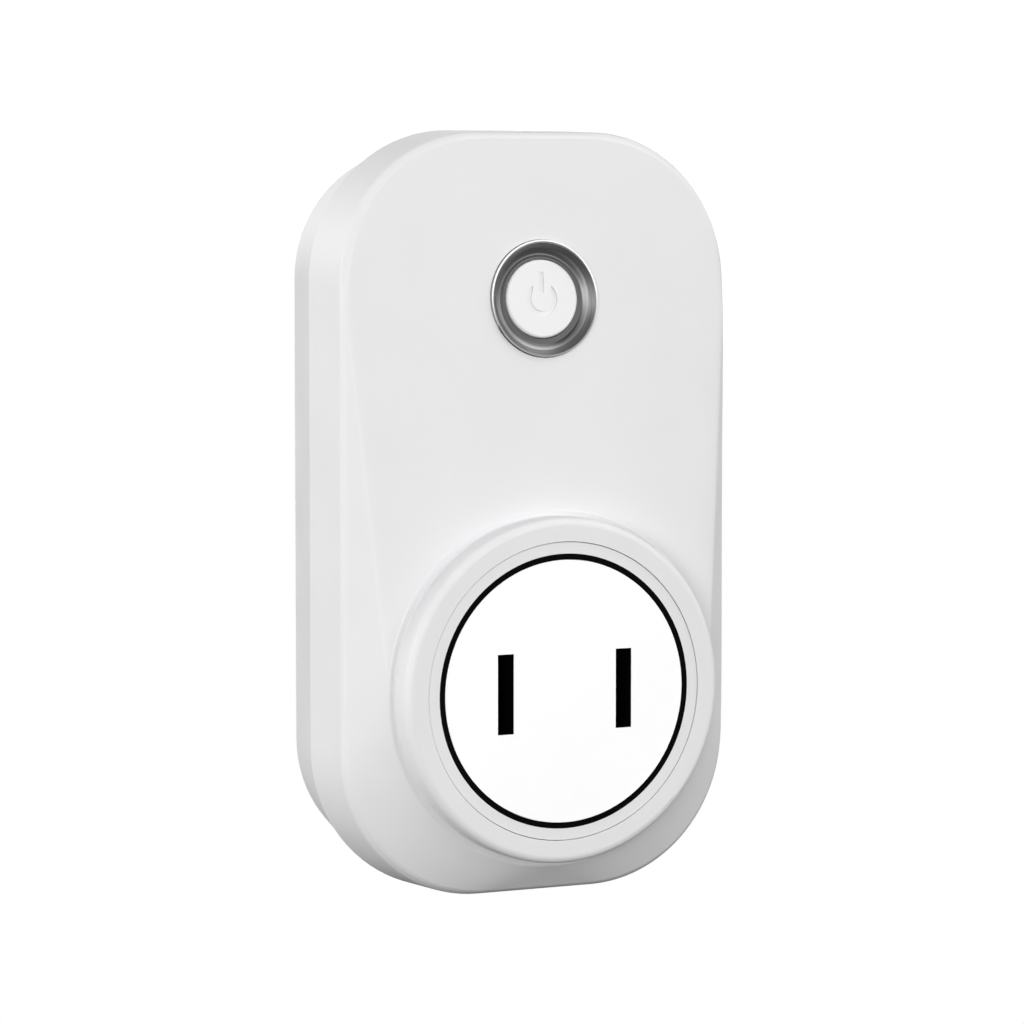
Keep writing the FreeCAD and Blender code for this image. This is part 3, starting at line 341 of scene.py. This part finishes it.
def sintered():
    """Ferrite: dull, dark and pitted, with scattered brighter grains."""
    look = Look("ferrite", (0.060, 0.058, 0.056), 0.60)
    pits = look.cells(PIT_MM)
    cloud = look.noise(SINTER_CLOUD_MM, detail=4.0)
    dull = look.blend(look.spread(cloud, 0.0, 1.0), (0.038, 0.036, 0.036), (0.066, 0.064, 0.062))
    look.colour(look.blend(look.spread(pits, 1.0, 0.0, start=0.05, end=0.25), dull, (0.12, 0.118, 0.115)))
    look.roughness(look.spread(cloud, 0.52, 0.70))
    look.bump(pits, PIT_DEPTH, 0.6)
    return look


TURNS_PER_METRE = 4000.0
TURN_DEPTH = 0.02
TAPE_CLOUD_MM = 1.2


def wound_tape():
    """Amber tape over a winding: the turns of wire show through as fine ridges."""
    look = Look("coil_tape", (0.75, 0.52, 0.06), 0.25)
    turns = look.maths("SINE", look.maths("MULTIPLY", look.along("Y"), TURNS_PER_METRE * 2.0 * math.pi))
    cloud = look.noise(TAPE_CLOUD_MM, detail=3.0)
    film = look.blend(look.spread(cloud, 0.0, 1.0), (0.66, 0.42, 0.04), (0.80, 0.56, 0.08))
    look.colour(look.blend(look.spread(turns, 0.0, 0.5, start=-1.0, end=1.0), film, (0.52, 0.26, 0.05)))
    look.roughness(look.spread(cloud, 0.18, 0.32))
    look.bump(turns, TURN_DEPTH, 0.5)
    return look


FACE_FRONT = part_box("socket_face")[0][1]
# How far behind its front the outlet face turns black, so that the slots are dark from their edges on:
# painted shade, where the real slot walls are white plastic in shadow.
SLOT_EDGE = 0.06 * MM


def outlet_face():
    """The white outlet face, with painted shade: black within its slots."""
    look = moulded("white_face", (0.97, 0.97, 0.97), (0.955, 0.955, 0.955), 0.30, 0.10, 0.0008)
    # Painted shade: the slot walls are painted black from just behind the front.
    look.paint_shade_where(look.maths("GREATER_THAN", look.along("Y"), FACE_FRONT + SLOT_EDGE))
    return look


RING_LOW, RING_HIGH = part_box("button_ring")
RING_X = (RING_LOW[0] + RING_HIGH[0]) / 2
RING_Z = (RING_LOW[2] + RING_HIGH[2]) / 2
# Distances from the middle of the ring: up to the first is the bore, painted near black as shade, and past
# the second the lip, painted pale grey as a highlight.
BORE_REACH = 4.45 * MM
LIP_REACH = 5.58 * MM
# The turned haze is stretched round the ring: fine across it, long along it.
HAZE_MM = 1.1
HAZE_ACROSS = 3.0
HAZE_AROUND = 0.4 * MM
HAZE_DEPTH = 0.01


def turned_ring():
    """Satin metal turned on a lathe, with hazy circular streaks; the bore is painted near black as shade,
    the sloping face between is darkened and mottled as a painted reflection, and the lip is painted pale as
    a highlight.
    """
    look = Look("bright_ring", (0.50, 0.50, 0.51), 0.2, metallic=0.72)
    reach, angle = look.round_axis(RING_X, RING_Z)
    wound = look.vector(look.maths("MULTIPLY", reach, HAZE_ACROSS),
                        look.maths("MULTIPLY", angle, HAZE_AROUND))
    haze = look.noise(HAZE_MM, detail=4.0, at=wound)
    # Painted reflection: the sloping face of the ring is darkened and mottled in place of the dark room its
    # metal mirrors; the circular streaks of the turning are real.
    streaks_and_painted_reflection = look.blend(look.spread(haze, 0.0, 1.0), (0.11, 0.111, 0.114), (0.32, 0.32, 0.32))
    # Painted shade: the bore is near black.
    reflection_and_bore_shade = look.blend(look.maths("GREATER_THAN", reach, BORE_REACH), (0.08, 0.08, 0.082), streaks_and_painted_reflection)
    # Painted highlight: the lip is a paler grey.
    look.colour(look.blend(look.maths("GREATER_THAN", reach, LIP_REACH), reflection_and_bore_shade, (0.62, 0.62, 0.62)))
    look.roughness(look.spread(haze, 0.28, 0.44))
    look.bump(haze, HAZE_DEPTH, 0.4)
    return look


# Slot, colour, shade, roughness.
PLASTICS = (
    ("dark_insulator", (0.020, 0.020, 0.022), (0.012, 0.012, 0.013), 0.48),
    ("pale_insulator", (0.74, 0.70, 0.60), (0.66, 0.61, 0.50), 0.45),
    ("lamp", (0.86, 0.86, 0.82), (0.78, 0.78, 0.72), 0.20),
    ("relay_case", (0.015, 0.016, 0.018), (0.010, 0.011, 0.012), 0.35),
    ("film_case", (0.55, 0.42, 0.06), (0.45, 0.33, 0.04), 0.40),
    ("varistor_coat", (0.02, 0.08, 0.30), (0.015, 0.05, 0.20), 0.30),
    ("can_sleeve", (0.012, 0.014, 0.030), (0.008, 0.010, 0.020), 0.25),
    ("chip_case", (0.018, 0.018, 0.018), (0.012, 0.012, 0.012), 0.55),
    ("fuse_glass", (0.80, 0.82, 0.78), (0.70, 0.72, 0.68), 0.12),
)
PLASTIC_GRAIN_MM = 0.15
PLASTIC_GRAIN_DEPTH = 0.002
# Slot, colour, shade, roughness, and three numbers that squeeze the grain along X, Y and Z.
# The grain runs along the axis that has the smallest of the three.
METALS = (
    ("contact_metal", (0.83, 0.55, 0.26), (0.62, 0.38, 0.18), 0.30, (1.0, 0.06, 1.0)),
    ("blade_metal", (0.56, 0.55, 0.52), (0.46, 0.45, 0.42), 0.50, (1.0, 0.05, 1.0)),
    ("lid_metal", (0.66, 0.66, 0.66), (0.52, 0.52, 0.53), 0.33, (0.08, 1.0, 1.0)),
    ("shield_metal", (0.62, 0.62, 0.60), (0.50, 0.50, 0.49), 0.38, (1.0, 1.0, 0.10)),
    ("pin_metal", (0.80, 0.70, 0.45), (0.66, 0.56, 0.34), 0.30, (1.0, 0.10, 1.0)),
    ("screw_steel", (0.60, 0.60, 0.60), (0.45, 0.45, 0.46), 0.35, (1.0, 0.30, 1.0)),
)


def make_looks():
    """One look for each material slot of the record."""
    looks = {
        "white_shell": moulded("white_shell", (0.722, 0.722, 0.729), (0.702, 0.702, 0.711), 0.46,
                               0.12, 0.0015, specular=0.35),
        "white_face": outlet_face(),
        "white_button": moulded("white_button", (0.76, 0.76, 0.76), (0.745, 0.745, 0.75), 0.34,
                                0.12, 0.0012),
        "black_trim": moulded("black_trim", (0.002, 0.002, 0.002), (0.001, 0.001, 0.001), 0.60,
                              0.10, 0.001, specular=0.03),
        "bright_ring": turned_ring(),
        "circuit_board": solder_mask(),
        "ferrite": sintered(),
        "coil_tape": wound_tape(),
    }
    for slot_name, colour, shade, roughness in PLASTICS:
        looks[slot_name] = moulded(slot_name, colour, shade, roughness,
                                   PLASTIC_GRAIN_MM, PLASTIC_GRAIN_DEPTH)
    for slot_name, colour, shade, roughness, streaks in METALS:
        looks[slot_name] = brushed(slot_name, colour, shade, roughness, streaks)
    return looks


# Width in millimetres of the rounding on the edges of stamped and moulded pieces.
SOFT_EDGES = {
    "relay": 0.30, "film_capacitor": 0.50, "rectifier": 0.15, "radio_shield": 0.20,
    "transformer_core": 0.15, "line_blade": 0.12, "neutral_blade": 0.12, "status_light": 0.12,
    "switch_base": 0.12,
}
SHARP_ANGLE = math.radians(40.0)


def dress_frame(looks):
    """Gives each CAD node the look of its own material slot, and softens the edges that would be soft."""
    for row in frame["record"]["subparts"]:
        node = nodes[row["node"]]
        node.data.materials.clear()
        node.data.materials.append(looks[row["material_slot"]].material)
        if row["node"] in SOFT_EDGES:
            bevel = node.modifiers.new("soft_edges", "BEVEL")
            bevel.width = SOFT_EDGES[row["node"]] * MM
            bevel.segments = 3
            bevel.limit_method = "ANGLE"
            bevel.angle_limit = SHARP_ANGLE
            bevel.harden_normals = True


# ---------------------------------------------------------------- floor
FLOOR_LEVEL = -0.075
FLOOR_SIZE = 6.0


def make_floor():
    """A flat floor below the object, white to the camera and a dim grey in reflections and bounced light.

    From below it is clear, so that it never hides the object.
    """
    mesh = bpy.data.meshes.new("floor")
    half = FLOOR_SIZE / 2
    corners = [(-half, -half, FLOOR_LEVEL), (half, -half, FLOOR_LEVEL),
               (half, half, FLOOR_LEVEL), (-half, half, FLOOR_LEVEL)]
    mesh.from_pydata(corners, [], [(0, 1, 2, 3)])
    floor = bpy.data.objects.new("floor", mesh)
    scene.collection.objects.link(floor)
    look = Look("floor", (0.10, 0.10, 0.10), 0.9, specular=0.0)
    white = look.add("Emission")
    seen = look.add("MixShader")
    look.link(look.add("LightPath").outputs["Is Camera Ray"], seen.inputs[0])
    look.link(look.shader.outputs[0], seen.inputs[1])
    look.link(white.outputs[0], seen.inputs[2])
    either = look.add("MixShader")
    look.link(look.add("NewGeometry").outputs["Backfacing"], either.inputs[0])
    look.link(seen.outputs[0], either.inputs[1])
    look.link(look.add("BsdfTransparent").outputs[0], either.inputs[2])
    look.link(either.outputs[0], look.out.inputs["Surface"])
    mesh.materials.append(look.material)


scene.view_settings.view_transform = "Standard"
make_camera()
make_world()
for lamp in SOFTBOXES:
    softbox(*lamp)
dress_frame(make_looks())
make_floor()
